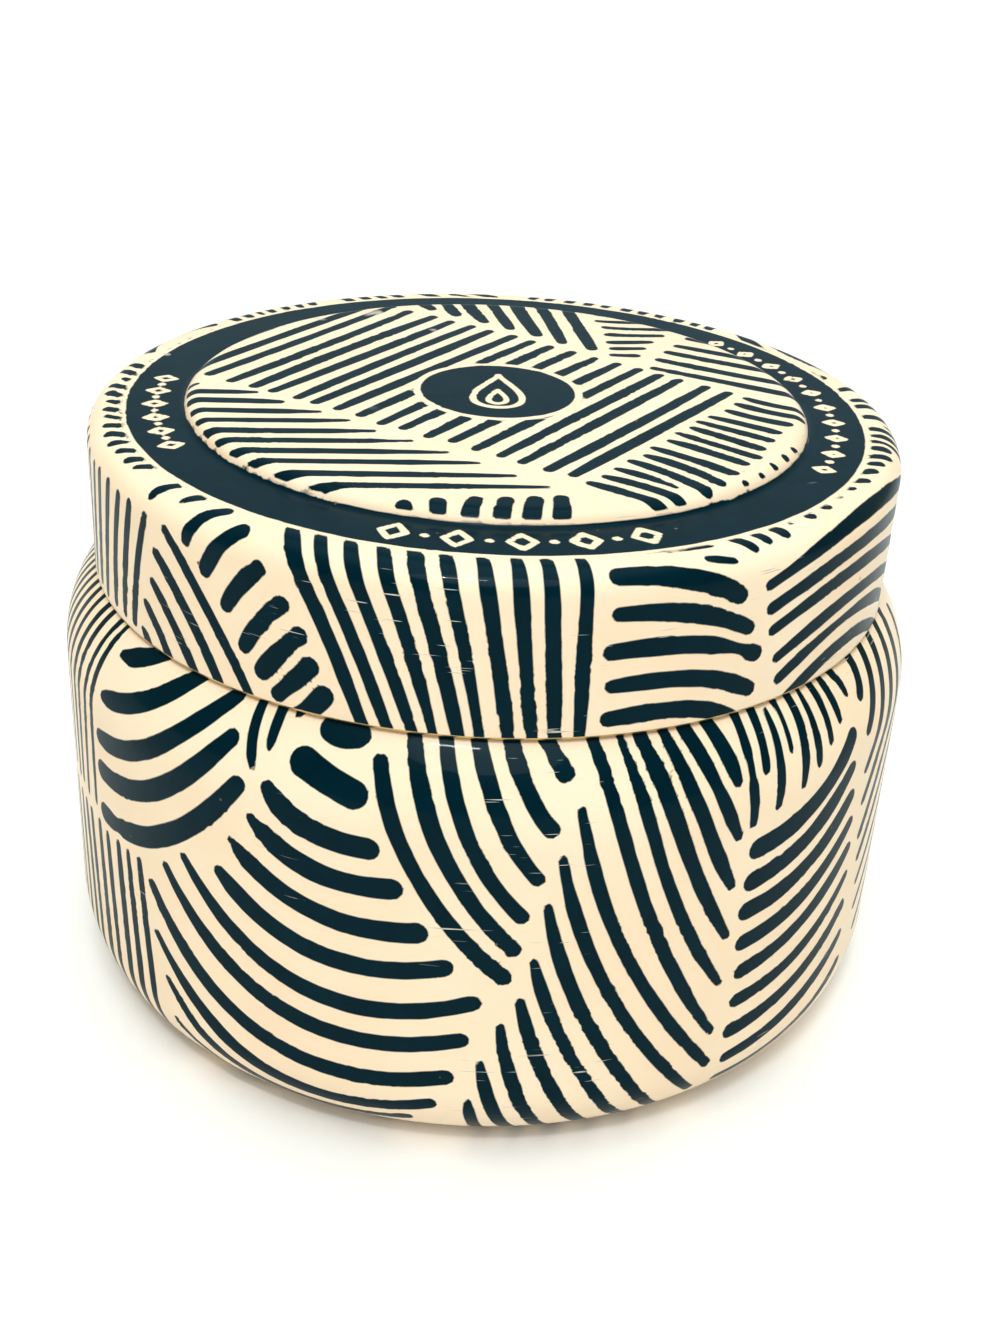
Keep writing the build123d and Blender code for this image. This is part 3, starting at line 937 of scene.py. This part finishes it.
# Waxed cotton: twisted white yarn soaked in wax, matt where its fibres stand out and satin where the
# wax lies on it. The yarn's twist is 0.5 mm long.
def waxed_cotton():
    material, output = new_material("braided cotton, waxed")
    where = add_node(material, "ShaderNodeTexCoord").outputs["Object"]
    fibres = add_node(material, "ShaderNodeMapping",
                      {"Scale": (1 / (0.15 * MM), 1 / (0.15 * MM), 1 / (0.5 * MM))}, Vector=where)
    twist = add_node(material, "ShaderNodeTexNoise", {"Scale": 1.0, "Detail": 4.0}, Vector=fibres.outputs[0])
    tint = add_node(material, "ShaderNodeMix", {
        "data_type": "RGBA", 0: twist.outputs["Fac"], 6: linear("#D9CDB2"), 7: linear("#F7F1E2"),
    })
    yarn = add_node(material, "ShaderNodeBump", {"Strength": 0.6, "Distance": 0.1 * MM},
                    Height=twist.outputs["Fac"])
    shine = add_node(material, "ShaderNodeMapRange", {"To Min": 0.45, "To Max": 0.8},
                     Value=twist.outputs["Fac"])
    surface = add_node(material, "ShaderNodeBsdfPrincipled", {"IOR": 1.45, "Sheen Weight": 0.3},
                       Base_Color=tint.outputs[2], Roughness=shine.outputs[0], Normal=yarn.outputs[0])
    material.node_tree.links.new(surface.outputs["BSDF"], output.inputs["Surface"])
    return material


cotton = waxed_cotton()
for number, (low, high) in wick_boxes.items():
    middle = (low + high) / 2
    plait = bpy.data.curves.new(f"wick_{number}_plait", "CURVE")
    plait.dimensions = "3D"
    plait.bevel_depth = STRAND_RADIUS * MM
    plait.bevel_resolution = 3
    plait.use_fill_caps = True
    steps = round((high.z - low.z) / PLAIT_LENGTH * STEPS_A_PLAIT)
    for strand in range(3):
        line = plait.splines.new("POLY")
        line.points.add(steps)
        for step, point in enumerate(line.points):
            turn = 2 * math.pi * (step / STEPS_A_PLAIT + strand / 3)
            x = middle.x + PLAIT_ACROSS * math.sin(turn)
            y = PLAIT_THROUGH * math.sin(2 * turn)
            z = low.z + (high.z - low.z) * step / steps
            point.co = (x * MM, y * MM, z * MM, 1)
    wick = bpy.data.objects.new(plait.name, plait)
    bpy.context.collection.objects.link(wick)
    bpy.ops.object.select_all(action="DESELECT")
    wick.select_set(True)
    bpy.context.view_layer.objects.active = wick
    bpy.ops.object.convert(target="MESH")
    wick = bpy.context.object
    bpy.ops.object.shade_smooth_by_angle(angle=math.radians(50))
    wick.data.materials.clear()
    wick.data.materials.append(cotton)
    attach(wick, "tin")
    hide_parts(f"wick_{number}")

# ---- Wick tabs --------------------------------------------------------------------------------
# Stamped discs of tin-plated steel with a drawn neck, crimped onto the wicks. They are the frame's
# own pieces, and are given their plating here.
def repaint(node, material):
    """Gives a piece of the frame a new material."""
    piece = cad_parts[node]
    piece.data.materials.clear()
    piece.data.materials.append(material)


# Tin-plated steel: bright and soft, scratched by the stamping tool, with duller patches of flux.
def plated_steel():
    material, output = new_material("tin-plated steel, stamped")
    where = add_node(material, "ShaderNodeTexCoord").outputs["Object"]
    patches = add_node(material, "ShaderNodeTexNoise", {"Scale": 1 / (3 * MM), "Detail": 5.0}, Vector=where)
    drawn = add_node(material, "ShaderNodeMapping",
                     {"Scale": (1 / (4 * MM), 1 / (0.12 * MM), 1 / (0.12 * MM))}, Vector=where)
    scratches = add_node(material, "ShaderNodeTexNoise", {"Scale": 1.0, "Detail": 2.0},
                         Vector=drawn.outputs[0])
    tint = add_node(material, "ShaderNodeMix", {
        "data_type": "RGBA", 0: patches.outputs["Fac"], 6: linear("#B9BABA"), 7: linear("#DADBD8"),
    })
    shine = add_node(material, "ShaderNodeMapRange", {"To Min": 0.22, "To Max": 0.5},
                     Value=patches.outputs["Fac"])
    lines = add_node(material, "ShaderNodeBump", {"Strength": 0.25, "Distance": 0.02 * MM},
                     Height=scratches.outputs["Fac"])
    surface = add_node(material, "ShaderNodeBsdfPrincipled", {"Metallic": 1.0},
                       Base_Color=tint.outputs[2], Roughness=shine.outputs[0], Normal=lines.outputs[0])
    material.node_tree.links.new(surface.outputs["BSDF"], output.inputs["Surface"])
    return material


plating = plated_steel()
for number in wick_boxes:
    repaint(f"wick_tab_{number}", plating)

# ---- Wick stickers ----------------------------------------------------------------------------
# Discs of white double-sided foam tape that hold the tabs to the base while the wax is poured.
# Polyethylene foam: matt white, with closed cells about 0.3 mm across that make it finely pitted.
def tape_foam():
    material, output = new_material("polyethylene foam tape")
    where = add_node(material, "ShaderNodeTexCoord").outputs["Object"]
    cells = add_node(material, "ShaderNodeTexVoronoi", {"Scale": 1 / (0.3 * MM)}, Vector=where)
    tint = add_node(material, "ShaderNodeMix", {
        "data_type": "RGBA", 0: cells.outputs["Distance"], 6: linear("#F6F6F2"), 7: linear("#DEDFDA"),
    })
    shine = add_node(material, "ShaderNodeMapRange", {"To Min": 0.6, "To Max": 0.9},
                     Value=cells.outputs["Distance"])
    pits = add_node(material, "ShaderNodeBump", {"Strength": 0.5, "Distance": 0.1 * MM},
                    Height=cells.outputs["Distance"])
    surface = add_node(material, "ShaderNodeBsdfPrincipled", {"IOR": 1.5},
                       Base_Color=tint.outputs[2], Roughness=shine.outputs[0], Normal=pits.outputs[0])
    material.node_tree.links.new(surface.outputs["BSDF"], output.inputs["Surface"])
    return material


foam = tape_foam()
for number in wick_boxes:
    repaint(f"wick_sticker_{number}", foam)

# ---- Base label -------------------------------------------------------------------------------
# A round paper label stuck in the recess under the base. It is left blank but for a printed rim line.
LABEL_LINE = (28.4, 29.1)


# Uncoated label paper: matt, slightly warm, with short fibres 1 mm long and a line of blue ink.
def label_paper(line_from, line_to):
    material, output = new_material("uncoated label paper")
    where = add_node(material, "ShaderNodeTexCoord").outputs["Object"]
    flat = add_node(material, "ShaderNodeMapping", {"Scale": (1, 1, 0)}, Vector=where)
    from_middle = add_node(material, "ShaderNodeVectorMath", {"operation": "LENGTH", 0: flat.outputs[0]})
    middle = (line_from + line_to) / 2 * MM
    off_line = add_node(material, "ShaderNodeMath",
                        {"operation": "SUBTRACT", 0: from_middle.outputs["Value"], 1: middle})
    distance = add_node(material, "ShaderNodeMath", {"operation": "ABSOLUTE", 0: off_line.outputs[0]})
    half = (line_to - line_from) / 2 * MM
    line = add_node(material, "ShaderNodeMapRange", {"From Min": half * 1.1, "From Max": half * 0.9},
                    Value=distance.outputs[0])
    fibres = add_node(material, "ShaderNodeTexNoise",
                      {"Scale": 1 / (1.0 * MM), "Detail": 6.0, "Roughness": 0.7}, Vector=where)
    paper = add_node(material, "ShaderNodeMix", {
        "data_type": "RGBA", 0: fibres.outputs["Fac"], 6: linear("#E9E4D8"), 7: linear("#FAF7EF"),
    })
    printed = add_node(material, "ShaderNodeMix", {
        "data_type": "RGBA", 0: line.outputs[0], 6: paper.outputs[2], 7: linear(INK[0]),
    })
    shine = add_node(material, "ShaderNodeMapRange", {"To Min": 0.65, "To Max": 0.9},
                     Value=fibres.outputs["Fac"])
    tooth = add_node(material, "ShaderNodeBump", {"Strength": 0.3, "Distance": 0.03 * MM},
                     Height=fibres.outputs["Fac"])
    surface = add_node(material, "ShaderNodeBsdfPrincipled", {"IOR": 1.5},
                       Base_Color=printed.outputs[2], Roughness=shine.outputs[0], Normal=tooth.outputs[0])
    material.node_tree.links.new(surface.outputs["BSDF"], output.inputs["Surface"])
    return material


repaint("base_label", label_paper(*LABEL_LINE))
